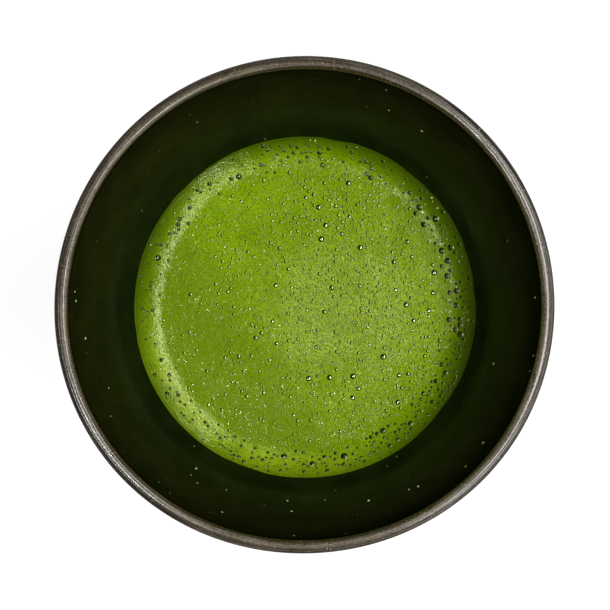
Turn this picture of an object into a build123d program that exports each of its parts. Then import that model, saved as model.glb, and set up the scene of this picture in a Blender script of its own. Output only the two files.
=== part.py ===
"""A matcha bowl: a glazed stoneware tea bowl holding whisked thin tea.

Millimetres. The origin is the centre of the foot's resting plane and +Z is up.
Every piece is a solid of revolution about +Z, or drops and bubbles resting on one.
"""

import os
from math import asin, atan2, cos, radians, sin, sqrt
from random import Random

from build123d import *

# Driving dimensions of the finished bowl
LIP_RADIUS = 60.6
BOWL_HEIGHT = 68.0
LIP_THICKNESS = 3.2
LIP_FILLET = 1.0
GLAZE = 0.5

# Inner wall: a round floor, then a cone, then an arc that ends upright at the lip
FLOOR_HEIGHT = 11.5
FLOOR_ARC = 48.0
WALL_LEAN = 46.0
CONE_TOP_RADIUS = 46.0

# Outer wall: a waist curving out of the foot, then a cone, then an arc that ends upright
WAIST_RISE = 25.0
WAIST_ARC = 40.0
OUTER_CONE_LENGTH = 13.0

# Foot ring, and the hollow inside it with its small central nipple
FOOT_RADIUS = 25.4
FOOT_HEIGHT = 8.0
FOOT_TAPER = 0.9
FOOT_INNER_RADIUS = 20.4
FOOT_FILLET = 0.8
FOOT_TOP_FILLET = 1.5
RECESS_DEPTH = 5.4
RECESS_FILLET = 1.6
NIPPLE_DROP = 1.2
NIPPLE_RADIUS = 6.8
NIPPLE_EDGE_DROP = 0.1

# Where one coat of glaze stops and the next begins
GLAZE_LINE = 10.9
LIP_BAND = 2.2

# Tea, and the froth that climbs the wall at its edge
FROTH_TOP = 32.6
FROTH_THICKNESS = 3.6
FROTH_FLAT_RADIUS = 33.5
FROTH_CLIMB_ARC = 18.0
FROTH_CLIMB_TURN = 40.0

# Bubbles standing in the froth, crowded along one side of its edge
SURFACE_BUBBLES = 48
SURFACE_BUBBLE_RADII = (0.42, 0.8)
SURFACE_BUBBLE_REACH = 35.0
SPARSE_SIDE_X = -12.0
SPARSE_SIDE_MOVED = 0.6
EDGE_BUBBLES = 34
EDGE_BUBBLE_RADII = (0.5, 0.85)
EDGE_BUBBLE_RING = (37.2, 40.8)
EDGE_BUBBLE_MIDDLE = -20.0
EDGE_BUBBLE_SPREAD = 55.0
BUBBLE_SEED = 11

# Drops of tea splashed on the inner wall above the froth
DROPLETS = 32
DROPLET_RADII = (0.28, 0.6)
DROPLET_REACH = (0.7, 0.97)
DROPLET_MIDDLE = -95.0
DROPLET_SPREAD = 75.0
DROPLET_SEED = 5

# Clear space between two bubbles or drops, and under each one
DOME_GAP = 0.15
SEAT_GAP = 0.03

CLAY_LIP_RADIUS = LIP_RADIUS - GLAZE
CLAY_INNER_LIP_RADIUS = LIP_RADIUS - LIP_THICKNESS + GLAZE
CLAY_HEIGHT = BOWL_HEIGHT - GLAZE
LEAN = radians(WALL_LEAN)
TEA_TOP = FROTH_TOP - FROTH_THICKNESS
TOUCH = 1e-4


def inner_wall(coat):
    """Draws the inner wall from its centre up to the lip, with this much coat on the clay."""
    arc_radius = FLOOR_ARC + GLAZE - coat
    floor_centre = (0, FLOOR_HEIGHT + FLOOR_ARC)
    floor = CenterArc(floor_centre, arc_radius, 270, WALL_LEAN)
    cone_top_radius = CONE_TOP_RADIUS + (GLAZE - coat) * sin(LEAN)
    cone_length = (cone_top_radius - (floor @ 1).X) / cos(LEAN)
    cone = Line(floor @ 1, floor @ 1 + (floor % 1) * cone_length)
    upright_radius = CLAY_INNER_LIP_RADIUS - coat
    shoulder_radius = (upright_radius - (cone @ 1).X) / (1 - sin(LEAN))
    shoulder = JernArc(cone @ 1, cone % 1, shoulder_radius, 90 - WALL_LEAN)
    return shoulder @ 1


def outer_wall():
    """Draws the clay's outer wall from the foot's top up to where it turns upright."""
    rise = radians(WAIST_RISE)
    start = (FOOT_RADIUS - FOOT_TAPER, FOOT_HEIGHT)
    waist = JernArc(start, (cos(rise), sin(rise)), WAIST_ARC, WALL_LEAN - WAIST_RISE)
    cone = Line(waist @ 1, waist @ 1 + (waist % 1) * OUTER_CONE_LENGTH)
    shoulder_radius = (CLAY_LIP_RADIUS - (cone @ 1).X) / (1 - sin(LEAN))
    shoulder = JernArc(cone @ 1, cone % 1, shoulder_radius, 90 - WALL_LEAN)
    return shoulder @ 1


def foot():
    """Draws the foot ring and the hollow inside it, from the hollow's centre outwards."""
    centre = (0, RECESS_DEPTH - NIPPLE_DROP)
    ceiling_end = (FOOT_INNER_RADIUS - FOOT_TAPER, RECESS_DEPTH)
    nipple_edge = (NIPPLE_RADIUS, RECESS_DEPTH - NIPPLE_EDGE_DROP)
    Spline(centre, nipple_edge, ceiling_end, tangents=((1, 0), (1, 0)))
    Polyline(
        ceiling_end,
        (FOOT_INNER_RADIUS, 0),
        (FOOT_RADIUS, 0),
        (FOOT_RADIUS - FOOT_TAPER, FOOT_HEIGHT),
    )
    return centre


def at_lip_top(corner):
    """Says whether this corner of the clay's section is on top of the lip."""
    return abs(corner.Y - CLAY_HEIGHT) < TOUCH


def at_foot_sole(corner):
    """Says whether this corner of the clay's section is on the sole of the foot."""
    return abs(corner.Y) < TOUCH


def at_foot_top(corner):
    """Says whether this corner of the clay's section is where the foot meets the waist."""
    return abs(corner.Y - FOOT_HEIGHT) < TOUCH


def at_recess_corner(corner):
    """Says whether this corner of the clay's section is where the foot meets its hollow."""
    return abs(corner.Y - RECESS_DEPTH) < TOUCH


def seat(reach, height, slope, angle):
    """Returns a plane just off a surface of revolution: where its section has this slope in
    radians at this distance from the axis and height, on the side at angle in degrees."""
    side = Vector(cos(radians(angle)), sin(radians(angle)), 0)
    normal = Vector(0, 0, cos(slope)) - side * sin(slope)
    return Plane(side * reach + Vector(0, 0, height) + normal * SEAT_GAP, z_dir=normal)


def froth_seat(reach, angle):
    """Returns a seat on the froth, on its flat middle or on the climb at its edge."""
    slope = asin(max(0, reach - FROTH_FLAT_RADIUS) / FROTH_CLIMB_ARC)
    return seat(reach, FROTH_TOP + FROTH_CLIMB_ARC * (1 - cos(slope)), slope, angle)


def surface_dome(random):
    """Returns the seat and radius of a bubble on the froth. Some of those that fall on the
    sparse side are moved across to the other."""
    angle = random.uniform(0, 360)
    reach = SURFACE_BUBBLE_REACH * sqrt(random.random())
    radius = random.triangular(*SURFACE_BUBBLE_RADII, SURFACE_BUBBLE_RADII[0])
    if reach * cos(radians(angle)) < SPARSE_SIDE_X and random.random() < SPARSE_SIDE_MOVED:
        angle = random.uniform(-90, 90)
    return froth_seat(reach, angle), radius


def edge_dome(random):
    """Returns the seat and radius of a bubble in the band of large ones beside the wall."""
    angle = random.gauss(EDGE_BUBBLE_MIDDLE, EDGE_BUBBLE_SPREAD)
    reach = random.uniform(*EDGE_BUBBLE_RING)
    radius = random.uniform(*EDGE_BUBBLE_RADII)
    return froth_seat(reach, angle), radius


def droplet_dome(random):
    """Returns the seat and radius of a drop on the inner wall, most of them on the near side."""
    angle = random.gauss(DROPLET_MIDDLE, DROPLET_SPREAD)
    along_wall = random.uniform(*DROPLET_REACH)
    spot = wall_line.wire() @ along_wall
    climb = wall_line.wire() % along_wall
    radius = random.triangular(*DROPLET_RADII, DROPLET_RADII[0])
    return seat(spot.X, spot.Y, atan2(climb.Y, climb.X), angle), radius


def scattered(dome, random, count):
    """Returns this many seats and radii from dome(random), with a gap between neighbours."""
    kept = []
    while len(kept) < count:
        plane, radius = dome(random)
        if all((plane.origin - p.origin).length > radius + r + DOME_GAP for p, r in kept):
            kept.append((plane, radius))
    return kept


def domes(seats):
    """Adds a half ball on each seat to the part being built."""
    for plane, radius in seats:
        with Locations(plane):
            Sphere(radius, arc_size1=0, align=(Align.CENTER, Align.CENTER, Align.MIN))


# Sections, drawn with the bowl's axis as the upright axis
with BuildLine() as wall_line:
    inner_wall(GLAZE)

with BuildSketch(Plane.XZ) as clay_section:
    with BuildLine():
        inner_top = inner_wall(0)
        outer_top = outer_wall()
        recess_centre = foot()
        Polyline(
            inner_top,
            (CLAY_INNER_LIP_RADIUS, CLAY_HEIGHT),
            (CLAY_LIP_RADIUS, CLAY_HEIGHT),
            outer_top,
        )
        Line(recess_centre, (0, FLOOR_HEIGHT - GLAZE))
    make_face()
    fillet(clay_section.vertices().filter_by(at_lip_top), LIP_FILLET)
    fillet(clay_section.vertices().filter_by(at_foot_sole), FOOT_FILLET)
    fillet(clay_section.vertices().filter_by(at_recess_corner), RECESS_FILLET)
    fillet(clay_section.vertices().filter_by(at_foot_top), FOOT_TOP_FILLET)

with BuildSketch(Plane.XZ) as coated_section:
    add(clay_section.sketch)
    offset(amount=GLAZE)

with BuildSketch(Plane.XZ) as glaze_section:
    add(coated_section.sketch)
    add(clay_section.sketch, mode=Mode.SUBTRACT)
    with Locations((0, GLAZE_LINE)):
        Rectangle(LIP_RADIUS, BOWL_HEIGHT, align=Align.MIN, mode=Mode.INTERSECT)

with BuildSketch(Plane.XZ) as lip_glaze_section:
    add(glaze_section.sketch)
    with Locations((0, BOWL_HEIGHT - LIP_BAND)):
        Rectangle(2 * LIP_RADIUS, LIP_BAND, align=(Align.CENTER, Align.MIN), mode=Mode.INTERSECT)

with BuildSketch(Plane.XZ) as wall_glaze_section:
    add(glaze_section.sketch)
    add(lip_glaze_section.sketch, mode=Mode.SUBTRACT)
inside_face, outside_face = wall_glaze_section.sketch.faces().sort_by(Axis.X)

with BuildSketch(Plane.XZ) as tea_section:
    with Locations((0, FLOOR_HEIGHT)):
        Rectangle(CONE_TOP_RADIUS, TEA_TOP - FLOOR_HEIGHT, align=Align.MIN)
    add(coated_section.sketch, mode=Mode.SUBTRACT)
tea_face = tea_section.sketch.faces().sort_by(Axis.X)[0]

with BuildSketch(Plane.XZ) as froth_section:
    with BuildLine():
        climb_start = (FROTH_FLAT_RADIUS, FROTH_TOP)
        climb = JernArc(climb_start, (1, 0), FROTH_CLIMB_ARC, FROTH_CLIMB_TURN)
        Polyline(
            climb_start,
            (0, FROTH_TOP),
            (0, TEA_TOP),
            ((climb @ 1).X, TEA_TOP),
            climb @ 1,
        )
    make_face()
    add(coated_section.sketch, mode=Mode.SUBTRACT)
froth_face = froth_section.sketch.faces().sort_by(Axis.X)[0]

# The fired bowl: its clay, and the coats of glaze over it
with BuildPart() as clay_body:
    revolve(clay_section.sketch, axis=Axis.Z)

with BuildPart() as inside_glaze:
    revolve(inside_face, axis=Axis.Z)

with BuildPart() as lip_glaze:
    revolve(lip_glaze_section.sketch, axis=Axis.Z)

with BuildPart() as outside_glaze:
    revolve(outside_face, axis=Axis.Z)

# What the bowl holds
with BuildPart() as tea:
    revolve(tea_face, axis=Axis.Z)

with BuildPart() as froth:
    revolve(froth_face, axis=Axis.Z)

with BuildPart() as surface_bubbles:
    domes(scattered(surface_dome, Random(BUBBLE_SEED), SURFACE_BUBBLES))

with BuildPart() as edge_bubbles:
    domes(scattered(edge_dome, Random(BUBBLE_SEED), EDGE_BUBBLES))

with BuildPart() as splash_droplets:
    domes(scattered(droplet_dome, Random(DROPLET_SEED), DROPLETS))

os.makedirs("parts", exist_ok=True)
pieces = {
    "clay_body": clay_body,
    "inside_glaze": inside_glaze,
    "lip_glaze": lip_glaze,
    "outside_glaze": outside_glaze,
    "tea": tea,
    "froth": froth,
    "surface_bubbles": surface_bubbles,
    "edge_bubbles": edge_bubbles,
    "splash_droplets": splash_droplets,
}
for name, piece in pieces.items():
    piece.part.label = name
    export_step(piece.part, f"parts/{name}.step")
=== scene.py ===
"""The looks of the matcha bowl, built round its CAD frame.

Shapes are worked out in millimetres and become metres when a mesh is made. The bowl's axis
is the Z axis. A profile is an array of (radius, height) rows.
"""

import math

import bpy
import numpy as np
from mathutils import Matrix, Vector


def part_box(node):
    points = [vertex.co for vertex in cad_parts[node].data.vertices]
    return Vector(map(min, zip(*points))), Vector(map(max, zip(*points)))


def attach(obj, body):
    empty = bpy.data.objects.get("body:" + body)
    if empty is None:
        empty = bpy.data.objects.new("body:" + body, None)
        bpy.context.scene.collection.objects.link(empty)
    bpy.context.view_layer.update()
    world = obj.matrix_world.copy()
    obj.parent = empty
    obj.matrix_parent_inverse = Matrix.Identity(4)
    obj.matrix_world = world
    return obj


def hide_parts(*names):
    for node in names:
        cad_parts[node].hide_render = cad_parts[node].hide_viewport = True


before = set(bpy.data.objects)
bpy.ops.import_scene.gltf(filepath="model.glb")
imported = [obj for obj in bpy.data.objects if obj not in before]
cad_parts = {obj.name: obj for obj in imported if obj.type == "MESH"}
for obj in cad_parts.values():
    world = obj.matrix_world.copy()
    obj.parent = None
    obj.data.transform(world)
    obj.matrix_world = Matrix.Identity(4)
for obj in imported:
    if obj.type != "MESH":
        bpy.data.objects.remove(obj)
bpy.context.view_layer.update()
MM = 0.001


# Sizes read from the CAD nodes
LIP_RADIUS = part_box("lip_glaze")[1].x / MM
BOWL_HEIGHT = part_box("lip_glaze")[1].z / MM
LIP_BAND_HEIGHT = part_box("lip_glaze")[0].z / MM
GLAZE_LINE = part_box("outside_glaze")[0].z / MM
FLOOR_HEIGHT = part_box("tea")[0].z / MM
TEA_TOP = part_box("froth")[0].z / MM

# The wall, as designed
LIP_THICKNESS = 3.2
GLAZE = 0.5
FLOOR_ARC = 48.0
WALL_LEAN = math.radians(46)
CONE_TOP_RADIUS = 46.0
WAIST_RISE = math.radians(25)
WAIST_ARC = 40.0
OUTER_CONE_LENGTH = 13.0
FOOT_RADIUS = 25.4
FOOT_TOP_RADIUS = 24.5
FOOT_HEIGHT = 8.0
FOOT_INNER_RADIUS = 20.4
RECESS_DEPTH = 5.4
NIPPLE_DROP = 1.2

# How far in from the lip's outer edge its crest is, as a share of the lip's thickness, and
# how far below the crest the lip's curve starts on each side
CREST_SHARE = 0.65
CREST_RADIUS = LIP_RADIUS - CREST_SHARE * LIP_THICKNESS
LIP_INNER_DROP = 1.55
LIP_OUTER_DROP = 2.0

# The foot's rounded sole, and the raised point and spiral that trimming leaves in its hollow
SOLE_ROUNDING = 0.8
SOLE_INNER_INSET = 0.9
SOLE_OUTER_INSET = 0.95
NIPPLE_REACH = 3.2
SPIRAL_HEIGHT = 0.10
SPIRAL_TURN = 26

# Over what distance each profile's curves run into one another
WALL_SOFTNESS = 3.0
FOOT_SOFTNESS = 0.5

# How far apart a profile's points are: on glaze, on the lip, on bare clay, and out of sight.
# A coat's hidden back has one point for every fourth point of its face.
FACE_SPACING = 0.5
LIP_SPACING = 0.12
BARE_SPACING = 0.3
HIDDEN_SPACING = 1.5
BACK_STEP = 4

# How far above the glaze's edge the finely spaced clay ends and the hidden clay starts, and
# how far the clay's crest clears the lip's coat
BARE_OVERLAP = 1.0
HIDDEN_START = 1.2
CREST_GAP = 0.05

# How far the thrown wall strays from round, as (lobes, millimetres, degrees of the first
# lobe), and its lip from level
WOBBLES = ((2, 0.24, 28), (3, 0.17, -30), (4, 0.10, 45))
LIP_RISE = 0.25

# Above the first height the inner wall's gloss fades, by this factor for each millimetre, and
# its colour has turned by the second
GLOSSY_HEIGHT = 41.0
DULL_HEIGHT = 49.0
WALL_GLOSS = 0.22
GLOSS_FADE = 0.77

# The froth, which climbs the wall: how far out it stays level, over what distance it turns
# up, its slope from there to the wall, and how finely it and its slope are worked out
FROTH_TOP = 32.6
FROTH_FLAT_RADIUS = 35.2
FROTH_TURN = 5.0
FROTH_EDGE_SLOPE = math.radians(29)
FROTH_EDGE_RADIUS = 43.9
FROTH_RING_GAP = 0.35
FROTH_STEP = 0.05

# The middle of the froth's pale patch in metres, partly painted sheen, and the sides, in
# degrees from +X towards +Y, where the froth is thin, where its rim has painted sheen and the
# least painted shade, where the wall's painted shadow lies on it, and where an arc is wet
PALE_PATCH = (0.010, -0.002)
THIN_SIDE = 215
LIT_RIM = 240
WALL_SHADOW_SIDE = 15
WET_ARC = 30

# A bubble in shares of its radius: how far its skirt dips and rises, where its film starts,
# and how deep its underside goes
SKIRT = 0.03
FILM_START = 0.12
BUBBLE_DEPTH = 0.3

# How bubbles are strewn: the gap kept between them as a factor of their radii, the draws for
# each bubble wanted, the shape of the draw of their sizes, and how they keep off the wall
BUBBLE_GAP = 1.12
TRIES = 12
SIZE_DRAW = (1.5, 2.6)
BUBBLE_INSET = 0.6
WALL_GAP = 0.25

# The splashes are drawn at this share of the design's size
SPLASH_SHARE = 0.62

# How finely things are turned, and the least angle of a sharp edge
SEGMENTS = 512
FROTH_SEGMENTS = 720
TEA_SEGMENTS = 256
SHARP_ANGLE = math.radians(40)


# ---------- profiles


def arc(centre, radius, start, stop, count=200):
    """Returns points on an arc; the angles are from straight down, towards the outside."""
    angles = np.linspace(start, stop, count)
    return np.column_stack(
        (centre[0] + radius * np.sin(angles), centre[1] - radius * np.cos(angles))
    )


def line(start, end, count=60):
    """Returns points on a straight line."""
    return np.linspace(start, end, count)


def joined(*pieces):
    """Joins profiles end to end, leaving out doubled points."""
    points = np.vstack(pieces)
    steps = np.linalg.norm(np.diff(points, axis=0), axis=1)
    return points[np.concatenate(([True], steps > 1e-6))]


def spaced(points, spacing):
    """Returns the profile with its points this far apart along it."""
    steps = np.linalg.norm(np.diff(points, axis=0), axis=1)
    along = np.concatenate(([0], np.cumsum(steps)))
    wanted = np.linspace(0, along[-1], max(2, int(round(along[-1] / spacing)) + 1))
    return np.column_stack([np.interp(wanted, along, points[:, i]) for i in (0, 1)])


def softened(points, reach):
    """Rounds a profile's changes of curvature over this reach, and keeps its ends."""
    step = 0.1
    points = spaced(points, step)
    count = int(reach / step)
    weights = np.hanning(2 * count + 3)[1:-1]
    weights /= weights.sum()
    before = 2 * points[0] - points[count + 1 : 0 : -1][:count]
    after = 2 * points[-1] - points[-2 : -count - 2 : -1]
    padded = np.vstack((before, points, after))
    return np.column_stack([np.convolve(padded[:, i], weights, "valid") for i in (0, 1)])


def normals_of(points):
    """Returns each profile point's unit normal, to the left of the way the profile runs."""
    along = np.gradient(points, axis=0)
    along /= np.linalg.norm(along, axis=1)[:, None]
    return np.column_stack((-along[:, 1], along[:, 0]))


def shoulder(below, radius_at_top):
    """Returns the arc that leads a wall leaning outwards upright, at this radius."""
    radius = (radius_at_top - below[0]) / (1 - math.sin(WALL_LEAN))
    centre = (radius_at_top - radius, below[1] + radius * math.cos(WALL_LEAN))
    return arc(centre, radius, WALL_LEAN, math.pi / 2)


def inner_profile():
    """Returns the glazed inner wall from the floor's centre to the foot of the lip's curve."""
    floor = arc((0, FLOOR_HEIGHT + FLOOR_ARC), FLOOR_ARC, 0, WALL_LEAN)
    rise = (CONE_TOP_RADIUS - floor[-1, 0]) * math.tan(WALL_LEAN)
    cone = line(floor[-1], (CONE_TOP_RADIUS, floor[-1, 1] + rise))
    top = shoulder(cone[-1], LIP_RADIUS - LIP_THICKNESS)
    return softened(joined(floor, cone, top), WALL_SOFTNESS)


def lip_profile(inner_top, outer_top):
    """Returns the lip from the inner wall's top over its crest to the outer wall's top."""
    crest = np.array((CREST_RADIUS, BOWL_HEIGHT))
    inner = np.array((inner_top[0], crest[1] - LIP_INNER_DROP))
    outer = np.array((outer_top[0], crest[1] - LIP_OUTER_DROP))
    turn = np.linspace(0, math.pi / 2, 90)[:, None]
    across, upright = np.array((1, 0)), np.array((0, 1))
    up = crest + (inner - crest) * (across * np.cos(turn) + upright * (1 - np.sin(turn)))
    down = crest + (outer - crest) * (across * np.sin(turn) + upright * (1 - np.cos(turn)))
    return joined(line(inner_top, inner, 12), up, down, line(outer, outer_top, 12))


def outer_profile(coat):
    """Returns the outer wall, this thick over the clay, from the foot's top upwards."""
    waist_centre = (
        FOOT_TOP_RADIUS - WAIST_ARC * math.sin(WAIST_RISE),
        FOOT_HEIGHT + WAIST_ARC * math.cos(WAIST_RISE),
    )
    waist = arc(waist_centre, WAIST_ARC, WAIST_RISE, WALL_LEAN)
    run = OUTER_CONE_LENGTH * np.array((math.cos(WALL_LEAN), math.sin(WALL_LEAN)))
    cone = line(waist[-1], waist[-1] + run)
    top = shoulder(cone[-1], LIP_RADIUS - GLAZE)
    wall = softened(joined(waist, cone, top), WALL_SOFTNESS)
    return wall - coat * normals_of(wall)


def foot_profile():
    """Returns the bare foot from the hollow's centre, round the sole, up to the foot's top."""
    hollow_radius = FOOT_INNER_RADIUS - SOLE_INNER_INSET
    reach = np.linspace(0, 1, 40)
    nipple = NIPPLE_DROP * np.exp(-((reach * hollow_radius / NIPPLE_REACH) ** 2))
    spiral = SPIRAL_HEIGHT * np.cos(reach * SPIRAL_TURN) * reach
    ceiling = np.column_stack((reach * hollow_radius, RECESS_DEPTH - nipple + spiral))
    inner_centre = (FOOT_INNER_RADIUS + SOLE_INNER_INSET, SOLE_ROUNDING)
    outer_centre = (FOOT_RADIUS - SOLE_OUTER_INSET, SOLE_ROUNDING)
    sole_inner = arc(inner_centre, SOLE_ROUNDING, -math.pi / 2, 0, 20)
    sole_outer = arc(outer_centre, SOLE_ROUNDING, 0, math.pi / 2, 20)
    side = line(ceiling[-1], sole_inner[0], 30)
    top = line(sole_outer[-1], (FOOT_TOP_RADIUS, FOOT_HEIGHT), 30)
    return softened(joined(ceiling, side, sole_inner, sole_outer, top), FOOT_SOFTNESS)


def coat_profile(face):
    """Returns the closed outline of a coat of glaze: its face, then its back on the clay."""
    back = face[::BACK_STEP]
    if (face[-1] != back[-1]).any():
        back = np.vstack((back, face[-1]))
    back = back - GLAZE * normals_of(back)
    return np.vstack((face, back[::-1]))


def clay_profile(lip):
    """Returns the clay's outline from the floor's centre, over the crest under the lip's
    coat, down the outer wall and round the foot to its hollow's centre."""
    inner = inner_profile()
    inner = inner - GLAZE * normals_of(inner)
    inner = spaced(inner[inner[:, 1] < LIP_BAND_HEIGHT], HIDDEN_SPACING)
    crest = (lip - (GLAZE + CREST_GAP) * normals_of(lip))[::-BACK_STEP]
    outer = outer_profile(0)
    outer = outer[outer[:, 1] < LIP_BAND_HEIGHT]
    hidden = spaced(outer[outer[:, 1] > GLAZE_LINE + HIDDEN_START], HIDDEN_SPACING)
    bare = joined(foot_profile(), outer[outer[:, 1] < GLAZE_LINE + BARE_OVERLAP])
    bare = spaced(bare, BARE_SPACING)
    return np.vstack((bare, hidden, crest, inner[::-1]))[::-1]


# ---------- meshes


def waves(points, wavelength, seed, count=28):
    """Returns smooth noise of about unit size at points, from waves of random direction."""
    random = np.random.default_rng(seed)
    directions = random.normal(size=(count, 3))
    directions /= np.linalg.norm(directions, axis=1)[:, None]
    lengths = wavelength * random.uniform(0.7, 1.5, count)
    phases = random.uniform(0, 2 * math.pi, count)
    total = np.zeros(len(points))
    for direction, length, phase in zip(directions, lengths, phases):
        total += np.cos(points @ direction * (2 * math.pi / length) + phase)
    return total * math.sqrt(2 / count)


def thrown(points):
    """Moves points the way the hand-thrown wall strays from a true turned shape."""
    points = np.array(points, float)
    angle = np.arctan2(points[:, 1], points[:, 0])
    share = np.clip(points[:, 2] / BOWL_HEIGHT, 0, 1)
    out = np.zeros(len(points))
    for lobes, size, first in WOBBLES:
        out += size * np.cos(lobes * (angle - math.radians(first)))
    scale = 1 + out * share**1.5 / LIP_RADIUS
    points[:, 0] *= scale
    points[:, 1] *= scale
    points[:, 2] += LIP_RISE * share**4 * (np.cos(2 * angle + 0.6) + 0.5 * np.cos(3 * angle - 1))
    return points


def add_object(name, data):
    """Adds an object to the scene."""
    made = bpy.data.objects.new(name, data)
    bpy.context.scene.collection.objects.link(made)
    return made


def make_object(name, points, faces, material, attributes):
    """Makes a smooth mesh object from millimetre points, with float attributes per vertex."""
    mesh = bpy.data.meshes.new(name)
    mesh.from_pydata((np.asarray(points) * MM).tolist(), [], faces)
    mesh.shade_smooth()
    mesh.set_sharp_from_angle(angle=SHARP_ANGLE)
    for key, values in attributes.items():
        layer = mesh.attributes.new(key, "FLOAT", "POINT")
        layer.data.foreach_set("value", np.asarray(values, float))
    mesh.materials.append(material)
    return add_object(name, mesh)


def settle(piece, slot, *nodes):
    """Fixes a piece to the bowl and hides the CAD nodes it stands for; its slot is not used."""
    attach(piece, "root")
    if nodes:
        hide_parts(*nodes)


def turned_points(profile, segments):
    """Returns the points of a profile turned about the axis: one ring after another."""
    turns = np.arange(segments) * (2 * math.pi / segments)
    radius, height = profile[:, 0], profile[:, 1]
    x = radius[:, None] * np.cos(turns)
    y = radius[:, None] * np.sin(turns)
    z = np.repeat(height[:, None], segments, axis=1)
    return np.stack((x, y, z), axis=2).reshape(-1, 3)


def neighbours(segments):
    """Returns each point of a ring with the next one round."""
    return [(i, (i + 1) % segments) for i in range(segments)]


def ring_faces(rings, segments, closed=False):
    """Returns the faces between rings of points, and from the last ring to the first if the
    profile is closed."""
    faces = []
    pairs = [(i, i + 1) for i in range(rings - 1)]
    if closed:
        pairs.append((rings - 1, 0))
    for low, high in pairs:
        a, b = low * segments, high * segments
        faces += [(a + i, b + i, b + j, a + j) for i, j in neighbours(segments)]
    return faces


def pole_faces(rings, segments):
    """Returns the triangles that close the first and last rings. The two poles' points come
    after the rings'."""
    start = rings * segments
    last = start - segments
    faces = [(i, j, start) for i, j in neighbours(segments)]
    return faces + [(last + i, start + 1, last + j) for i, j in neighbours(segments)]


def turned(name, profile, material, segments=SEGMENTS, closed=False, relief=None, raised=0):
    """Turns a profile about the axis. An open profile starts and ends on the axis, where its
    end rings become single points. The profile runs with the solid on its right. relief(points)
    gives how far the points of the raised rings, the profile's first, stand out."""
    profile = np.asarray(profile, float)
    points = turned_points(profile, segments)
    stands = np.zeros(len(points))
    if relief is not None:
        count = raised * segments
        stands[:count] = relief(points[:count])
        points += turned_points(normals_of(profile), segments) * stands[:, None]
    points = thrown(points)
    rings = len(profile)
    if not closed:
        poles = points[:segments].mean(axis=0), points[-segments:].mean(axis=0)
        points = np.vstack((points[segments:-segments], poles))
        stands = np.concatenate((stands[segments:-segments], (0, 0)))
        rings -= 2
    faces = ring_faces(rings, segments, closed)
    if not closed:
        faces += pole_faces(rings, segments)
    return make_object(name, points, faces, material, {"relief": stands})


# ---------- materials


class Nodes:
    """A node tree, with short ways to add and join its nodes."""

    def __init__(self, owner):
        owner.use_nodes = True
        self.tree = owner.node_tree
        self.tree.nodes.clear()

    def add(self, kind, settings=None, **inputs):
        """Adds a node; each input is a value or another node's output."""
        node = self.tree.nodes.new(kind)
        for key, value in (settings or {}).items():
            setattr(node, key, value)
        for key, value in inputs.items():
            self.put(node.inputs[key.replace("_", " ")], value)
        return node

    def put(self, socket, value):
        """Sets a socket to a value, or links it to another node's output."""
        if isinstance(value, bpy.types.NodeSocket):
            self.tree.links.new(value, socket)
        else:
            socket.default_value = value

    def math(self, operation, first, second=0.0):
        """Returns the result of a sum on two numbers."""
        node = self.add("ShaderNodeMath", {"operation": operation})
        self.put(node.inputs[0], first)
        self.put(node.inputs[1], second)
        return node.outputs[0]

    def times(self, first, second):
        """Returns two numbers multiplied."""
        return self.math("MULTIPLY", first, second)

    def plus(self, first, second):
        """Returns two numbers added."""
        return self.math("ADD", first, second)

    def span(self, value, low, high, start=0.0, stop=1.0):
        """Returns start to stop, eased, as value goes from low to high."""
        node = self.add("ShaderNodeMapRange", {"interpolation_type": "SMOOTHSTEP"})
        for index, number in enumerate((value, low, high, start, stop)):
            self.put(node.inputs[index], number)
        return node.outputs["Result"]

    def seen(self):
        """Returns 1 for what the camera sees directly, and 0 for mirrored and thrown light."""
        return self.add("ShaderNodeLightPath").outputs["Is Camera Ray"]


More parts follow.
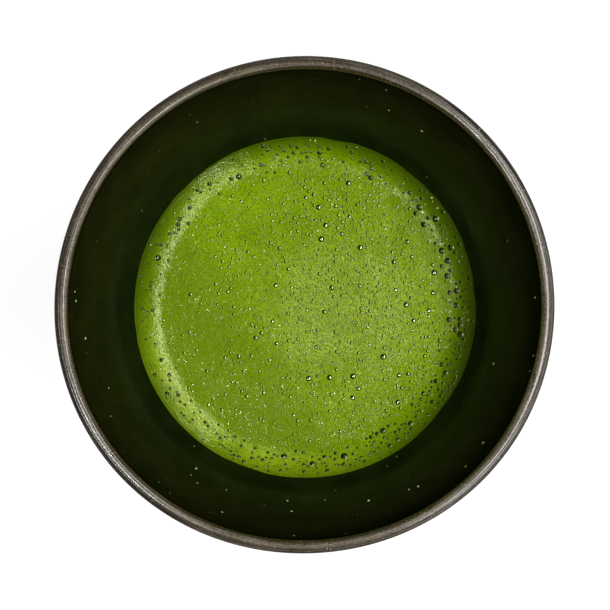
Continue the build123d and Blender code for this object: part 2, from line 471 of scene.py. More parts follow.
class Shader(Nodes):
    """A material's nodes, with the patterns its colours and bumps are made of."""

    def __init__(self, name):
        self.material = bpy.data.materials.new(name)
        super().__init__(self.material)
        self.surface = self.add("ShaderNodeBsdfPrincipled")
        self.add("ShaderNodeOutputMaterial", Surface=self.surface.outputs["BSDF"])
        self.place = self.add("ShaderNodeTexCoord").outputs["Object"]
        self.x, self.y, self.z = self.add("ShaderNodeSeparateXYZ", Vector=self.place).outputs

    def finish(self, **inputs):
        """Sets the surface's inputs and returns the material."""
        for key, value in inputs.items():
            self.put(self.surface.inputs[key.replace("_", " ")], value)
        return self.material

    def climb(self, low, high, start=0.0, stop=1.0):
        """Returns start to stop as the height goes from low to high millimetres."""
        return self.span(self.z, low * MM, high * MM, start, stop)

    def distance(self, middle=(0.0, 0.0)):
        """Returns how far the place is from an upright line at this (x, y), in metres."""
        across = self.math("SUBTRACT", self.x, middle[0])
        along = self.math("SUBTRACT", self.y, middle[1])
        total = self.plus(self.math("POWER", across, 2), self.math("POWER", along, 2))
        return self.math("SQRT", total)

    def towards(self, degrees):
        """Returns how far the place is from the axis in this direction, from +X towards +Y."""
        turn = math.radians(degrees)
        across = self.times(self.x, math.cos(turn))
        return self.plus(across, self.times(self.y, math.sin(turn)))

    def round_the_axis(self):
        """Returns the place as distance from the axis and height, which draws level rings
        that wander in and out a little."""
        away = self.plus(self.distance(), self.times(self.noise(14.0, 1.0), 0.6 * MM))
        return self.add("ShaderNodeCombineXYZ", X=away, Y=self.z).outputs[0]

    def stretched(self, x, y, z):
        """Returns the place with each axis scaled."""
        node = self.add("ShaderNodeMapping", Vector=self.place)
        node.inputs["Scale"].default_value = (x, y, z)
        return node.outputs["Vector"]

    def noise(self, size_mm, detail=3.0, roughness=0.55, place=None):
        """Returns cloudy noise with features of this size."""
        node = self.add("ShaderNodeTexNoise", Vector=place or self.place)
        node.inputs["Scale"].default_value = 1 / (size_mm * MM)
        node.inputs["Detail"].default_value = detail
        node.inputs["Roughness"].default_value = roughness
        return node.outputs["Fac"]

    def cells(self, size_mm):
        """Returns a cell texture's node, with cells of this size."""
        node = self.add("ShaderNodeTexVoronoi", Vector=self.place)
        node.inputs["Scale"].default_value = 1 / (size_mm * MM)
        return node

    def grains(self, size_mm):
        """Returns the height of round grains packed this far apart, from 0 to 1."""
        away = self.cells(size_mm).outputs["Distance"]
        return self.math("SUBTRACT", 1.0, self.times(self.math("POWER", away, 2), 2.5))

    def dots(self, size_mm, radius, share):
        """Returns 1 in scattered round dots: in this share of the cells, this part of a cell."""
        cell = self.cells(size_mm)
        dot = self.span(cell.outputs["Distance"], radius, radius * 0.6)
        pick = self.add("ShaderNodeSeparateColor", Color=cell.outputs["Color"]).outputs[0]
        chosen = self.math("LESS_THAN", pick, share)
        return self.times(dot, chosen)

    def mix(self, share, first, second):
        """Returns a colour between two, as share goes from 0 to 1."""
        node = self.add("ShaderNodeMix", {"data_type": "RGBA"})
        values = {"Factor_Float": share, "A_Color": first, "B_Color": second}
        for socket in node.inputs:
            if socket.identifier in values:
                self.put(socket, values[socket.identifier])
        return [o for o in node.outputs if o.identifier == "Result_Color"][0]

    def tint(self, shade, tone, value, low, high, most=1.0):
        """Returns the shade turned towards a tone, by up to this share, as value goes from
        low to high."""
        return self.mix(self.span(value, low, high, 0.0, most), shade, tone)

    def bump(self, height, depth_mm, before=None):
        """Returns a normal from a height that goes from 0 to 1 over this depth."""
        node = self.add("ShaderNodeBump", Height=height)
        node.inputs["Strength"].default_value = 1.0
        node.inputs["Distance"].default_value = depth_mm * MM
        if before is not None:
            self.put(node.inputs["Normal"], before)
        return node.outputs["Normal"]

    def stored(self, name):
        """Returns a number stored on the mesh's points."""
        return self.add("ShaderNodeAttribute", {"attribute_name": name}).outputs["Fac"]


def colour(red, green, blue):
    """Returns a linear colour from screen values from 0 to 255."""
    values = []
    for value in (red, green, blue):
        share = value / 255
        values.append(share / 12.92 if share <= 0.04045 else ((share + 0.055) / 1.055) ** 2.4)
    return (*values, 1.0)


# Colours. A pair is a cloudy ground's dark and light.
# Low on the inner wall the dark glaze is tinted green: painted light thrown and mirrored by the
# tea
WALL_LOW_PAINTED_TEA_LIGHT = colour(6, 13, 1), colour(12, 19, 2)
WALL_HIGH = colour(11, 14, 2), colour(17, 19, 3)
WALL_STREAK = colour(26, 22, 5)
# Painted shade for the band of inner wall just under the lip
UNDER_LIP_PAINTED_SHADE = colour(12, 8, 3)
WALL_FLECK = colour(70, 66, 44)
WALL_MIRROR_TINT = (0.9, 1.0, 0.6, 1.0)
LIP_GROUND = colour(42, 36, 26), colour(60, 54, 42)
LIP_GRAIN = colour(78, 72, 58)
LIP_FOOT = colour(30, 18, 9)
LIP_FLANK = colour(22, 18, 12)
LIP_GROOVE = colour(20, 13, 7)
LIP_RIDGE = colour(98, 90, 74)
LIP_GRIT = colour(98, 92, 76)
LIP_PIT = colour(20, 14, 8)
OUTSIDE_GROUND = colour(11, 10, 6), colour(22, 17, 8)
OUTSIDE_STREAK = colour(56, 34, 14)
BROWN_BREAK = colour(62, 36, 14)
THIN_GLAZE = colour(34, 28, 20)
GLAZE_EDGE = colour(84, 46, 20)
OUTSIDE_PIT = colour(120, 104, 78)
CLAY_GROUND = colour(134, 104, 78), colour(166, 136, 106)
CLAY_GRAIN = colour(104, 78, 58)
CLAY_LINE = colour(96, 72, 54)
CLAY_GRIT = colour(190, 168, 138)
CLAY_SPECK = colour(52, 36, 26)
FROTH_GROUND = colour(80, 103, 1), colour(88, 111, 5)
# Paler froth where bubbles crowd, partly a painted sheen of their glints
FROTH_PALE_AND_SHEEN = colour(94, 114, 12)
FROTH_THIN = colour(65, 84, 1)
# Painted sheen on the froth's rim towards its lit side
FROTH_PAINTED_SHEEN = colour(100, 121, 16)
# Painted shadow of the bowl's wall on the froth
FROTH_PAINTED_SHADOW = colour(44, 62, 1)
# Painted shade in the gaps between the froth's smallest grains
FROTH_GAP_PAINTED_SHADE = colour(48, 66, 1)
FROTH_FLECK = colour(108, 126, 20)
# Painted shade at the froth's edge beside the wall
FROTH_RIM_PAINTED_SHADE = colour(30, 44, 1)
FILM_MIRROR_TINT = (1.0, 0.98, 0.6, 1.0)
SPLASH_GROUND = colour(74, 88, 34), colour(150, 160, 110)
TEA_GROUND = colour(70, 96, 10), colour(92, 120, 16)
CARD_GROUND = colour(108, 108, 107), colour(112, 112, 112)
CARD_SEEN = colour(246, 246, 245), colour(250, 250, 250)

# The films of the bubbles: the dark ring at a film's foot, painted shade where it meets the
# froth, what shows through its top, the painted shade on its -X side, and how strongly it
# mirrors, as a refractive index
FILMS = {
    "fine_bubble_film": (colour(60, 80, 1), colour(92, 116, 6), colour(26, 40, 1), 1.45),
    "bubble_film": (colour(40, 58, 2), colour(90, 114, 8), colour(12, 22, 1), 1.8),
    "large_bubble_film": (colour(12, 22, 1), colour(56, 76, 3), colour(6, 12, 1), 2.0),
    "edge_bubble_film": (colour(10, 20, 1), colour(22, 38, 2), colour(5, 10, 1), 1.5),
}

# Where a noise's values lie: nearly all of them, and narrower ranges for clouds with edges
NOISE = (0.3, 0.7)
CLOUDS = (0.35, 0.7)
SHARP_CLOUDS = (0.35, 0.65)

GLAZE_INDEX = 1.5
CLAY_INDEX = 1.45
TEA_INDEX = 1.34
FROTH_INDEX = 1.32


def inside_glaze_material(name):
    """Black iron glaze, glossy where the wall leans and dull brown where it stands upright,
    tinted green low down by painted light from the tea and darkened by painted shade under the
    lip.
    """
    s = Shader(name)
    cloud = s.noise(9.0, 3.0)
    streaks = s.noise(1.6, 4.0, 0.6, s.stretched(1.0, 1.0, 0.15))
    grain = s.noise(0.35, 4.0, 0.7)
    flecks = s.dots(2.6, radius=0.10, share=0.10)
    rise = s.math("SUBTRACT", s.math("DIVIDE", s.z, MM), GLOSSY_HEIGHT)
    gloss = s.times(WALL_GLOSS, s.math("POWER", GLOSS_FADE, rise))
    gloss = s.math("MINIMUM", gloss, WALL_GLOSS)
    # The lower wall's colour holds painted green light from the tea
    low = s.mix(s.span(cloud, *CLOUDS), *WALL_LOW_PAINTED_TEA_LIGHT)
    high = s.mix(s.span(cloud, *CLOUDS), *WALL_HIGH)
    shade = s.mix(s.climb(GLOSSY_HEIGHT, DULL_HEIGHT), low, high)
    shade = s.tint(shade, WALL_STREAK, streaks, 0.55, 0.75, most=0.5)
    # Painted shade darkens the band of wall just under the lip
    shade = s.mix(s.climb(LIP_BAND_HEIGHT - 3.2, LIP_BAND_HEIGHT - 1.2), shade, UNDER_LIP_PAINTED_SHADE)
    shade = s.mix(flecks, shade, WALL_FLECK)
    rough = s.plus(s.span(grain, *NOISE, 0.14, 0.22), s.times(flecks, 0.4))
    normal = s.bump(grain, 0.006, s.bump(s.noise(2.2, 2.0, 0.4), 0.012))
    mirror = {"Specular_IOR_Level": gloss, "Specular_Tint": WALL_MIRROR_TINT}
    return s.finish(Base_Color=shade, Roughness=rough, IOR=GLAZE_INDEX, Normal=normal, **mirror)


def lip_material(name):
    """Glaze worn and drawn thin over the lip: dark, satin, lined round and grained with grit."""
    s = Shader(name)
    cloud = s.noise(7.0, 3.0)
    grain = s.noise(0.45, 4.0, 0.7)
    grit = s.dots(0.9, radius=0.22, share=0.3)
    pits = s.dots(1.7, radius=0.16, share=0.25)
    rings = s.noise(0.3, 1.0, 0.5, s.round_the_axis())
    out = s.span(s.distance(), CREST_RADIUS * MM, (CREST_RADIUS + 1.6) * MM)
    shade = s.mix(s.span(cloud, *SHARP_CLOUDS), *LIP_GROUND)
    shade = s.tint(shade, LIP_GRAIN, grain, 0.4, 0.7, most=0.6)
    shade = s.mix(s.climb(BOWL_HEIGHT - 0.2, BOWL_HEIGHT - 1.0), shade, LIP_FOOT)
    shade = s.mix(s.times(out, 0.8), shade, LIP_FLANK)
    shade = s.tint(shade, LIP_GROOVE, rings, 0.5, 0.3, most=0.75)
    shade = s.tint(shade, LIP_RIDGE, rings, 0.58, 0.68, most=0.6)
    shade = s.mix(grit, shade, LIP_GRIT)
    shade = s.mix(pits, shade, LIP_PIT)
    rough = s.plus(s.span(grain, *NOISE, 0.2, 0.34), s.times(grit, 0.2))
    fine = s.bump(rings, 0.05, s.bump(grain, 0.03))
    normal = s.bump(s.math("SUBTRACT", grit, pits), 0.03, fine)
    mirror = {"Specular_IOR_Level": s.span(out, 0.0, 1.0, 0.5, 0.3)}
    return s.finish(Base_Color=shade, Roughness=rough, IOR=GLAZE_INDEX, Normal=normal, **mirror)


def outside_glaze_material(name):
    """Glossy black iron glaze that breaks to brown on the rings and at its edge on the foot."""
    s = Shader(name)
    cloud = s.noise(9.0, 3.0)
    streaks = s.noise(1.6, 4.0, 0.6, s.stretched(1.0, 1.0, 0.12))
    grain = s.noise(0.35, 4.0, 0.7)
    pits = s.dots(2.3, radius=0.10, share=0.22)
    proud = s.span(s.stored("relief"), 0.02, 0.16, 0.0, 0.7)
    thin = s.climb(BOWL_HEIGHT - 6.5, BOWL_HEIGHT - 2.6)
    thin = s.times(thin, s.span(streaks, 0.3, 0.6, 0.5, 1.0))
    shade = s.mix(s.span(cloud, *CLOUDS), *OUTSIDE_GROUND)
    shade = s.tint(shade, OUTSIDE_STREAK, streaks, 0.52, 0.75, most=0.6)
    shade = s.mix(s.times(proud, s.span(streaks, 0.3, 0.6)), shade, BROWN_BREAK)
    shade = s.mix(thin, shade, THIN_GLAZE)
    shade = s.mix(s.climb(GLAZE_LINE + 2.6, GLAZE_LINE + 0.4), shade, GLAZE_EDGE)
    shade = s.mix(pits, shade, OUTSIDE_PIT)
    rough = s.plus(s.span(grain, *NOISE, 0.06, 0.12), s.times(thin, 0.22))
    rough = s.plus(rough, s.times(pits, 0.4))
    fine = s.bump(grain, 0.012, s.bump(s.noise(2.2, 2.0, 0.4), 0.02))
    normal = s.bump(s.math("SUBTRACT", 1.0, pits), 0.08, fine)
    return s.finish(Base_Color=shade, Roughness=rough, IOR=GLAZE_INDEX, Normal=normal)


def clay_material(name):
    """Bare brown stoneware with turning lines, iron specks and coarse grit."""
    s = Shader(name)
    cloud = s.noise(12.0, 4.0)
    grain = s.noise(0.5, 5.0, 0.7)
    grit = s.dots(1.4, radius=0.20, share=0.35)
    specks = s.dots(0.9, radius=0.16, share=0.25)
    turning = s.noise(0.9, 2.0, 0.5, s.stretched(0.02, 0.02, 1.0))
    shade = s.mix(s.span(cloud, *NOISE), *CLAY_GROUND)
    shade = s.tint(shade, CLAY_GRAIN, grain, 0.35, 0.75, most=0.5)
    shade = s.tint(shade, CLAY_LINE, turning, 0.45, 0.7, most=0.35)
    shade = s.mix(grit, shade, CLAY_GRIT)
    shade = s.mix(specks, shade, CLAY_SPECK)
    rough = s.span(grain, *NOISE, 0.72, 0.9)
    normal = s.bump(s.plus(grain, grit), 0.10, s.bump(turning, 0.10))
    return s.finish(Base_Color=shade, Roughness=rough, IOR=CLAY_INDEX, Normal=normal)


def froth_material(name):
    """Whisked tea froth: green foam grained with the smallest bubbles, with painted shade in the
    gaps between them, paler where it is thick with them and with their painted sheen, deeper
    where it is thin, with painted sheen on the lit side of its rim, the wall's painted shadow
    on its +X side, and painted shade at its edge."""
    s = Shader(name)
    edge = FROTH_EDGE_RADIUS * MM

    def beyond(distance, low, high, start=0.0, stop=1.0):
        """Returns start to stop as a distance goes from low to high shares of the edge's."""
        return s.span(distance, low * edge, high * edge, start, stop)

    cloud = s.noise(9.0, 3.0)
    grain = s.noise(0.25, 3.0, 0.7)
    small = s.grains(0.5)
    smaller = s.grains(0.3)
    away = s.distance()
    thin = beyond(s.towards(THIN_SIDE), 0.15, 0.5)
    # Paler where thick with bubbles, and partly a painted sheen of their glints
    pale_and_sheen = s.times(beyond(s.distance(PALE_PATCH), 0.6, 0.15), s.span(cloud, 0.2, 0.7))
    # Painted sheen: a paler band near the rim on its lit side
    painted_sheen = s.times(beyond(away, 0.82, 0.9), s.span(cloud, 0.2, 0.6))
    painted_sheen = s.times(painted_sheen, beyond(away, 1.0, 0.91, 0.25, 1.0))
    painted_sheen = s.times(painted_sheen, beyond(s.towards(LIT_RIM), 0.35, 0.8))
    # Painted shadow of the wall: the froth darkens towards its edge on the +X side
    dark = s.times(beyond(s.towards(WALL_SHADOW_SIDE), 0.45, 0.9, 0.0, 0.5), beyond(away, 0.68, 0.95))
    # Painted shade: the froth darkens towards its edge at the wall, least on its lit side
    painted_rim_shade = s.times(beyond(away, 0.87, 1.0), beyond(s.towards(LIT_RIM), 0.2, 1.0, 0.8, 0.12))
    shade = s.mix(s.span(cloud, *NOISE), *FROTH_GROUND)
    shade = s.mix(s.times(thin, 0.7), shade, FROTH_THIN)
    shade = s.mix(pale_and_sheen, shade, FROTH_PALE_AND_SHEEN)
    shade = s.mix(painted_sheen, shade, FROTH_PAINTED_SHEEN)
    shade = s.mix(dark, shade, FROTH_PAINTED_SHADOW)
    # Painted shade in the gaps between the grains
    shade = s.tint(shade, FROTH_GAP_PAINTED_SHADE, small, 0.5, 0.0, most=0.5)
    shade = s.tint(shade, FROTH_FLECK, grain, 0.55, 0.8, most=0.35)
    shade = s.mix(painted_rim_shade, shade, FROTH_RIM_PAINTED_SHADE)
    calm = beyond(away, 0.88, 0.95, 1.0, 0.45)
    strength = s.times(calm, s.span(pale_and_sheen, 0.0, 0.8, 0.4, 1.0))
    dents = s.bump(s.times(strength, smaller), 0.015)
    dimples = s.bump(s.times(strength, small), 0.05, dents)
    normal = s.bump(s.times(calm, s.noise(0.55, 1.0)), 0.125, dimples)
    film = {"Roughness": 0.08, "Specular_Tint": FILM_MIRROR_TINT}
    return s.finish(Base_Color=shade, IOR=FROTH_INDEX, Normal=normal, **film)


def bubble_material(name, painted_foot_shade, clear, painted_shade_colour, mirror):
    """A wet film over a hollow: froth colour where it meets the froth, then a dark ring of
    painted shade, then the colour seen through its top, and painted shade on its -X side."""
    s = Shader(name)
    up = s.stored("dome")
    cloud = s.noise(3.0, 2.0)
    shade = s.mix(s.span(cloud, *NOISE), *FROTH_GROUND)
    # Painted shade: a dark ring low on the film, round its foot
    shade = s.tint(shade, painted_foot_shade, up, 0.0, 0.15)
    shade = s.tint(shade, clear, up, 0.3, 0.75)
    shade = s.mix(s.stored("painted_shade"), shade, painted_shade_colour)
    film = {"Roughness": s.span(up, 0.0, 0.2, 0.25, 0.03), "Specular_Tint": FILM_MIRROR_TINT}
    return s.finish(Base_Color=shade, IOR=mirror, **film)


def splash_material(name):
    """Dried and drying splashes of pale green tea."""
    s = Shader(name)
    shade = s.mix(s.span(s.noise(0.4, 2.0), *SHARP_CLOUDS), *SPLASH_GROUND)
    return s.finish(Base_Color=shade, Roughness=0.12, IOR=TEA_INDEX)


def tea_material(name):
    """Cloudy green tea."""
    s = Shader(name)
    shade = s.mix(s.span(s.noise(5.0, 3.0), *NOISE), *TEA_GROUND)
    return s.finish(Base_Color=shade, Roughness=0.08, IOR=TEA_INDEX)


def card_material(name):
    """Plain card: white to the camera, and grey in what it throws on the glaze."""
    s = Shader(name)
    cloud = s.noise(60.0, 3.0)
    shade = s.mix(cloud, *CARD_GROUND)
    glow = {
        "Emission_Color": s.mix(cloud, *CARD_SEEN),
        "Emission_Strength": s.times(s.seen(), 0.88),
    }
    return s.finish(Base_Color=shade, Roughness=0.7, IOR=1.3, **glow)


# ---------- the bowl


def finger_rings(points, pitch, lean):
    """Returns the rings the potter's fingers leave, as a wave that climbs like a screw."""
    angle = np.arctan2(points[:, 1], points[:, 0])
    return np.cos(points[:, 2] * (2 * math.pi / pitch) + lean * angle)


def inside_relief(points):
    """Returns the relief of the inner wall: faint rings that fade out below the lip."""
    fade = np.clip((LIP_BAND_HEIGHT - points[:, 2]) / 6, 0, 1)
    rings = 0.018 * finger_rings(points, pitch=5.2, lean=1)
    uneven = 0.03 * waves(points, 30.0, seed=3) + 0.008 * waves(points, 5.0, seed=4)
    return fade * (rings + uneven)


def outside_relief(points):
    """Returns the relief of the outer wall: finger rings, and glaze that rolls at its edge."""
    fade = np.clip((BOWL_HEIGHT - 4 - points[:, 2]) / 8, 0, 1)
    rings = 0.07 * finger_rings(points, pitch=6.5, lean=-1)
    sway = 0.44 * waves(points * (1, 1, 0), 22.0, seed=9)
    above = points[:, 2] - GLAZE_LINE - 1.0 - sway
    roll = 0.28 * np.exp(-((above / 0.9) ** 2))
    return fade * (rings + 0.10 * waves(points, 26.0, seed=5)) + roll


def lip_relief(points):
    """Returns the two faint grooves that the finishing leather leaves round the lip."""
    out = np.hypot(points[:, 0], points[:, 1]) - CREST_RADIUS
    strength = 0.6 + 0.4 * waves(points * (1, 1, 0), 40.0, seed=12)
    outer = 0.055 * np.exp(-(((out - 0.78) / 0.13) ** 2))
    inner = 0.045 * np.exp(-(((out + 0.75) / 0.12) ** 2))
    return -strength * (outer + inner)


def make_coat(name, face, material, relief, closed=True):
    """Makes a coat of glaze from its face's profile, with the relief on its face alone."""
    profile = coat_profile(face)
    return turned(name, profile, material, closed=closed, relief=relief, raised=len(face))


def make_bowl():
    """Makes the clay body and its three coats of glaze."""
    inner_top = (LIP_RADIUS - LIP_THICKNESS, LIP_BAND_HEIGHT)
    outer_top = (LIP_RADIUS, LIP_BAND_HEIGHT)
    inner = inner_profile()
    outer = outer_profile(GLAZE)[::-1]
    inside = spaced(joined(inner[inner[:, 1] < LIP_BAND_HEIGHT], [inner_top]), FACE_SPACING)
    outside = spaced(joined([outer_top], outer[outer[:, 1] > GLAZE_LINE]), FACE_SPACING)
    lip = spaced(lip_profile(inner_top, outer_top), LIP_SPACING)

    glaze = inside_glaze_material("inside_black_glaze")
    coat = make_coat("inside_glaze_coat", inside, glaze, inside_relief, closed=False)
    settle(coat, "black_glaze", "inside_glaze")
    glaze = lip_material("thin_lip_glaze")
    coat = make_coat("lip_glaze_coat", lip, glaze, lip_relief)
    settle(coat, "thin_lip_glaze", "lip_glaze")
    glaze = outside_glaze_material("black_glaze")
    coat = make_coat("outside_glaze_coat", outside, glaze, outside_relief)
    settle(coat, "black_glaze", "outside_glaze")
    body = turned("clay_body_turned", clay_profile(lip), clay_material("stoneware"))
    settle(body, "stoneware", "clay_body")


# ---------- tea and froth


def wall_radius(height):
    """Returns the glazed wall's inner radius at this height."""
    wall = inner_profile()
    return np.interp(height, wall[:, 1], wall[:, 0])


def froth_height(x, y):
    """Returns the froth's height at these places before the wall's wobble."""
    reaches = np.arange(0, FROTH_EDGE_RADIUS + 1, FROTH_STEP)
    turned_up = np.clip((reaches - FROTH_FLAT_RADIUS) / FROTH_TURN, 0, 1)
    slopes = np.tan(FROTH_EDGE_SLOPE * turned_up**2 * (3 - 2 * turned_up))
    climb = np.interp(np.hypot(x, y), reaches, np.cumsum(slopes) * FROTH_STEP)
    flat = np.column_stack((np.ravel(x), np.ravel(y), np.zeros(np.size(x))))
    sway = 0.06 * waves(flat, 16.0, seed=21) + 0.025 * waves(flat, 5.0, seed=22)
    return FROTH_TOP + climb + sway.reshape(np.shape(x))


def froth_normal(x, y):
    """Returns the froth's unit normal at these places."""
    step = FROTH_STEP
    slope_x = (froth_height(x + step, y) - froth_height(x - step, y)) / (2 * step)
    slope_y = (froth_height(x, y + step) - froth_height(x, y - step)) / (2 * step)
    normal = np.stack((-slope_x, -slope_y, np.ones_like(slope_x)), axis=-1)
    return normal / np.linalg.norm(normal, axis=-1)[..., None]


def froth_relief(points):
    """Returns how far the froth stands above its level middle."""
    return froth_height(points[:, 0], points[:, 1]) - FROTH_TOP


def make_froth():
    """Makes the froth: a fine top, and an underside that follows the wall and the tea."""
    radii = np.arange(FROTH_RING_GAP, FROTH_EDGE_RADIUS, FROTH_RING_GAP)
    top = np.column_stack((radii, np.full(len(radii), FROTH_TOP)))
    edge_height = float(froth_height(np.array([FROTH_EDGE_RADIUS]), np.array([0.0]))[0])
    heights = np.linspace(edge_height, TEA_TOP, 10)
    side = np.column_stack((wall_radius(heights), heights))
    bottom = line((side[-1, 0], TEA_TOP), (0.0, TEA_TOP), 8)
    profile = joined([(0.0, FROTH_TOP)], top, side, bottom)
    foam = froth_material("tea_froth")
    raised = 1 + len(top)
    froth = turned(
        "froth_layer", profile, foam, FROTH_SEGMENTS, relief=froth_relief, raised=raised
    )
    settle(froth, "tea_froth", "froth")


def make_tea():
    """Makes the tea under the froth, filling the bowl's floor."""
    wall = inner_profile()
    below = spaced(wall[wall[:, 1] < TEA_TOP], HIDDEN_SPACING)
    surface = line((float(wall_radius(TEA_TOP)), TEA_TOP), (0.0, TEA_TOP), 12)
    profile = joined(below, surface)[::-1]
    tea = turned("tea_liquid_body", profile, tea_material("tea_liquid"), TEA_SEGMENTS)
    settle(tea, "tea_liquid", "tea")


# ---------- bubbles and drops


def dome_shape(segments, rings, flare, cap):
    """Returns a closed bubble of unit radius: its points, faces and how far up each point is.
    A skirt flares from flare times its radius up to the film, which ends cap radians wide."""
    film = np.linspace(cap, 0, rings + 1)[:-1]
    lift = math.cos(cap)
    radii = [flare, (1 + flare) / 2, *(np.sin(film) / math.sin(cap))]
    heights = [-SKIRT, SKIRT, *((np.cos(film) - lift) / math.sin(cap) + FILM_START)]
    up = [0.0, 0.0, *np.linspace(FILM_START, 1, rings + 1)[:-1]]
    points = turned_points(np.column_stack((radii, heights)), segments)
    poles = (0, 0, (1 - lift) / math.sin(cap) + FILM_START), (0, 0, -BUBBLE_DEPTH)
    faces = [(a, d, c, b) for a, b, c, d in ring_faces(len(radii), segments)]
    top = len(points)
    last = top - segments
    faces += [(last + i, last + j, top) for i, j in neighbours(segments)]
    faces += [(j, i, top + 1) for i, j in neighbours(segments)]
    levels = np.concatenate((np.repeat(up, segments), (1.0, 0.0)))
    return np.vstack((points, poles)), faces, levels


def painted_shade_side(unit, levels):
    """Returns how far each point of a bubble has painted shade, on its -X side."""
    return np.clip((-unit[:, 1] - 0.05) / 0.45, 0, 1) * (levels < 1)


def domes(name, shape, centres, normals, radii, material):
    """Makes one object holding a dome at every centre, standing on its normal."""
    unit, unit_faces, levels = shape
    helper = np.where(np.abs(normals[:, :1]) < 0.9, [[1.0, 0, 0]], [[0, 1.0, 0]])
    across = np.cross(helper, normals)
    across /= np.linalg.norm(across, axis=1)[:, None]
    along = np.cross(normals, across)
    frames = np.stack((across, along, normals), axis=1)
    points = np.einsum("pi,nij->npj", unit, frames) * radii[:, None, None]
    points += centres[:, None, :]
    count = len(centres)
    faces = []
    for start in range(0, count * len(unit), len(unit)):
        faces.extend([tuple(start + corner for corner in face) for face in unit_faces])
    # Painted shade on each bubble's -X side, away from the key lamp
    painted_shade = painted_shade_side(unit, levels)
    attributes = {"dome": np.tile(levels, count), "painted_shade": np.tile(painted_shade, count)}
    return make_object(name, thrown(points.reshape(-1, 3)), faces, material, attributes)


class Crowd:
    """Places taken up on the froth, seen from above, so that bubbles don't overlap."""

    # Bubbles are looked up in square cells this wide, in millimetres
    cell = 1.6

    def __init__(self):
        self.taken = {}

    def fits(self, x, y, radius):
        """Says whether a bubble here is clear of all the others."""
        column, row = int(x // self.cell), int(y // self.cell)
        for i in range(column - 1, column + 2):
            for j in range(row - 1, row + 2):
                for a, b, other in self.taken.get((i, j), ()):
                    if math.hypot(a - x, b - y) < (radius + other) * BUBBLE_GAP:
                        return False
        return True

    def add(self, x, y, radius):
        """Takes this place up."""
        place = (int(x // self.cell), int(y // self.cell))
        self.taken.setdefault(place, []).append((x, y, radius))


def scatter(random, crowd, count, radii, density):
    """Returns up to this many (x, y, radius) rows, more of them where density(x, y) is high."""
    kept = []
    for _ in range(count * TRIES):
        if len(kept) == count:
            break
        angle = random.uniform(0, 2 * math.pi)
        reach = (FROTH_EDGE_RADIUS - BUBBLE_INSET) * math.sqrt(random.uniform())
        x, y = reach * math.cos(angle), reach * math.sin(angle)
        radius = radii[0] + (radii[1] - radii[0]) * random.beta(*SIZE_DRAW)
        if reach + radius > FROTH_EDGE_RADIUS - WALL_GAP:
            continue
        if random.uniform() < density(x, y) and crowd.fits(x, y, radius):
            crowd.add(x, y, radius)
            kept.append((x, y, radius))
    return np.array(kept)


def islands(node):
    """Returns a row for each separate solid in a CAD node: its middle's x, y and z, and half
    its greatest width."""
    mesh = node.data
    points = [tuple(node.matrix_world @ vertex.co / MM) for vertex in mesh.vertices]
    owner = list(range(len(points)))

    def root(i):
        """Returns the point that stands for all those joined to this one."""
        while owner[i] != i:
            owner[i] = owner[owner[i]]
            i = owner[i]
        return i

    first_here = {}
    for i, point in enumerate(points):
        place = tuple(round(c, 3) for c in point)
        owner[root(i)] = root(first_here.setdefault(place, i))
    for edge in mesh.edges:
        a, b = edge.vertices
        owner[root(a)] = root(b)
    groups = {}
    for i, point in enumerate(points):
        groups.setdefault(root(i), []).append(point)
    found = []
    for group in groups.values():
        low, high = np.min(group, axis=0), np.max(group, axis=0)
        found.append((*((low + high) / 2), (high - low).max() / 2))
    return np.array(sorted(found))


def bell(value, middle, width):
    """Returns a smooth hump: 1 where value is in its middle, falling off over its width."""
    return math.exp(-(((value - middle) / width) ** 2))


def ramp(value, middle, width):
    """Returns a smooth step from 0 to 1, a half where value is in its middle."""
    return 1 / (1 + math.exp(-(value - middle) / width))


def reach_of(x, y):
    """Returns how far out a place on the froth is, as a share of the froth's edge."""
    return math.hypot(x, y) / FROTH_EDGE_RADIUS


def inside_rim(x, y):
    """Returns 1 over the froth, fading to 0 on its slope beside the wall."""
    return min(1.0, max(0.0, (0.89 - reach_of(x, y)) / 0.05))


def medium_density(x, y):
    """Says how crowded the bubbles are: most in the middle and to the right."""
    middle = 0.65 * bell(x, 8, 24) * bell(y, 2, 30)
    right = 0.45 * ramp(x, 10, 5)
    return min(1.0, 0.14 + middle + right) * max(0.3, inside_rim(x, y))


def edge_density(x, y):
    """Says how crowded the dark bubbles are beside the wall: most at the right and below,
    some at the far side."""
    side = 0.22 + 0.78 * ramp(0.8 * x - 0.55 * y, 8, 8)
    far = 0.8 * bell(x, -3, 12) * (y > 0)
    return bell(reach_of(x, y), 0.92, 0.055) * max(side, far)


def fine_density(x, y):
    """Says how crowded the finest bubbles are: packed to the right and in a wet arc beside the
    wall, sparse to the left."""
    right = 0.93 * bell(x, 12, 19) * bell(y, -2, 25)
    turn = math.degrees(math.atan2(y, x))
    wet = 2.0 * bell(reach_of(x, y), 0.83, 0.03) * bell(turn, WET_ARC, 18)
    return min(1.0, 0.07 + right + wet) * inside_rim(x, y)


def on_froth(rows):
    """Returns the centres, normals and radii of bubbles at these (x, y, radius) rows."""
    x, y, radii = rows.T
    return np.column_stack((x, y, froth_height(x, y))), froth_normal(x, y), radii


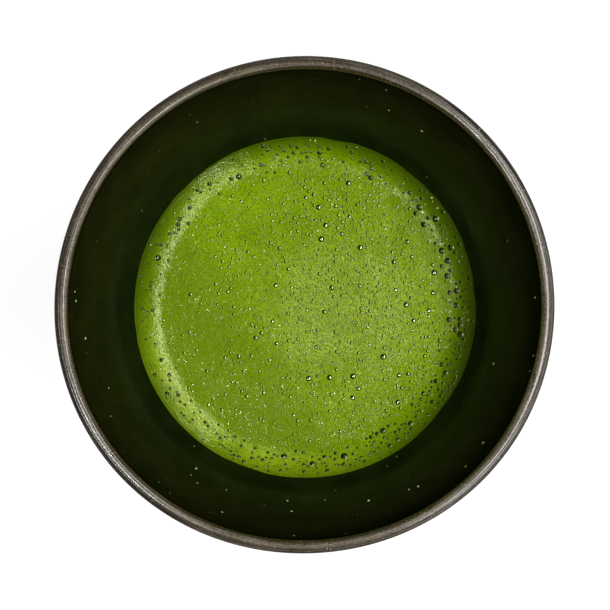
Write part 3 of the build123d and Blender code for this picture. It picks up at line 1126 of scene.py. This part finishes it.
def make_bubbles():
    """Makes the froth's bubbles: the CAD's large ones in their places, and smaller ones."""
    random = np.random.default_rng(7)
    crowd = Crowd()
    films = {name: bubble_material(name, *look) for name, look in FILMS.items()}
    large = dome_shape(32, 12, flare=1.2, cap=0.75)
    middling = dome_shape(14, 5, flare=1.15, cap=0.85)
    fine = dome_shape(8, 3, flare=1.25, cap=0.85)
    for kind, film in (("surface", "large_bubble_film"), ("edge", "edge_bubble_film")):
        rows = islands(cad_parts[f"{kind}_bubbles"])[:, (0, 1, 3)]
        for row in rows:
            crowd.add(*row)
        piece = domes(f"{kind}_bubble_films", large, *on_froth(rows), films[film])
        settle(piece, "bubble_film", f"{kind}_bubbles")
    dark = scatter(random, crowd, 450, (0.2, 0.62), edge_density)
    medium = scatter(random, crowd, 950, (0.26, 0.56), medium_density)
    small = scatter(random, crowd, 4400, (0.15, 0.27), fine_density)
    for name, shape, rows, film in (
        ("edge_small_bubbles", middling, dark, "edge_bubble_film"),
        ("medium_bubbles", middling, medium, "bubble_film"),
        ("fine_bubbles_1", fine, small[::2], "fine_bubble_film"),
        ("fine_bubbles_2", fine, small[1::2], "fine_bubble_film"),
    ):
        settle(domes(name, shape, *on_froth(rows), films[film]), "bubble_film")


def make_splashes():
    """Makes the splashes on the wall, at the CAD's places, each a low drop."""
    rows = islands(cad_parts["splash_droplets"])
    wall = inner_profile()
    reach = np.hypot(rows[:, 0], rows[:, 1])
    gaps = np.hypot(wall[:, 0] - reach[:, None], wall[:, 1] - rows[:, 2:3])
    nearest = gaps.argmin(axis=1)
    side = rows[:, :2] / reach[:, None]
    spot, normal = wall[nearest], normals_of(wall)[nearest]
    centres = np.column_stack((side * spot[:, :1], spot[:, 1]))
    normals = np.column_stack((side * normal[:, :1], normal[:, 1]))
    shape = dome_shape(16, 5, flare=1.15, cap=1.0)
    radii = rows[:, 3] * SPLASH_SHARE
    piece = domes("splash_drops", shape, centres, normals, radii, splash_material("tea_drops"))
    settle(piece, "tea_liquid", "splash_droplets")


# ---------- studio


def make_floor(width=6):
    """Makes the white card the bowl stands on."""
    bpy.ops.mesh.primitive_plane_add(size=width, location=(0, 0, 0))
    floor = bpy.context.object
    floor.name = "white_card"
    floor.data.materials.append(card_material("white_card"))


def softbox(name, azimuth, elevation, distance, width, height, radiance):
    """Adds a rectangular lamp aimed at the bowl. The azimuth runs from +X towards +Y, the
    width is level and the height is across it; sizes in metres, angles in degrees."""
    side, up = math.radians(azimuth), math.radians(elevation)
    towards = Vector(
        (math.cos(side) * math.cos(up), math.sin(side) * math.cos(up), math.sin(up))
    )
    lamp = bpy.data.lights.new(name, "AREA")
    lamp.shape = "RECTANGLE"
    lamp.size, lamp.size_y = width, height
    lamp.energy = radiance * math.pi * width * height
    box = add_object(name, lamp)
    box.location = towards * distance + Vector((0, 0, BOWL_HEIGHT * MM))
    box.rotation_mode = "QUATERNION"
    box.rotation_quaternion = towards.to_track_quat("Z", "Y")
    box.visible_camera = False


def make_world():
    """Makes the pale room round the bowl, brighter where the camera looks straight at it."""
    level_glow, overhead_glow, seen_glow = 0.16, 0.04, 0.86
    world = bpy.data.worlds.new("pale_room")
    n = Nodes(world)
    way = n.add("ShaderNodeTexCoord").outputs["Generated"]
    height = n.add("ShaderNodeSeparateXYZ", Vector=way).outputs["Z"]
    glow = n.span(height, 0.25, 0.6, level_glow, overhead_glow)
    strength = n.add("ShaderNodeMapRange", Value=n.seen(), To_Min=glow, To_Max=seen_glow)
    room = n.add("ShaderNodeBackground", Strength=strength.outputs["Result"])
    n.put(room.inputs["Color"], (1, 1, 1, 1))
    n.add("ShaderNodeOutputWorld", Surface=room.outputs["Background"])
    bpy.context.scene.world = world


def make_camera():
    """Makes the camera, almost straight above, so that the lip fills most of the picture."""
    distance = 0.485
    tilt, turn = math.radians(1.2), math.radians(20)
    aim = Vector((0.0002, -0.0001, BOWL_HEIGHT * MM))
    back = Vector(
        (math.sin(tilt) * math.sin(turn), -math.sin(tilt) * math.cos(turn), math.cos(tilt))
    )
    right = Vector((0, 1, 0)).cross(back).normalized()
    up = back.cross(right)
    data = bpy.data.cameras.new("overhead_camera")
    data.sensor_width = 36
    data.lens = 118.5
    camera = add_object("overhead_camera", data)
    camera.rotation_mode = "QUATERNION"
    camera.rotation_quaternion = Matrix((right, up, back)).transposed().to_quaternion()
    camera.location = aim + back * distance
    bpy.context.scene.camera = camera


make_bowl()
make_tea()
make_froth()
make_bubbles()
make_splashes()
make_floor()
make_world()
softbox("key", azimuth=-3, elevation=60, distance=0.9, width=1.3, height=0.19, radiance=29)
softbox("fill", azimuth=213, elevation=60, distance=0.9, width=0.13, height=0.07, radiance=240)
softbox("side", azimuth=-20, elevation=8, distance=1.2, width=2.2, height=0.4, radiance=5)
make_camera()
bpy.context.scene.view_settings.view_transform = "Standard"
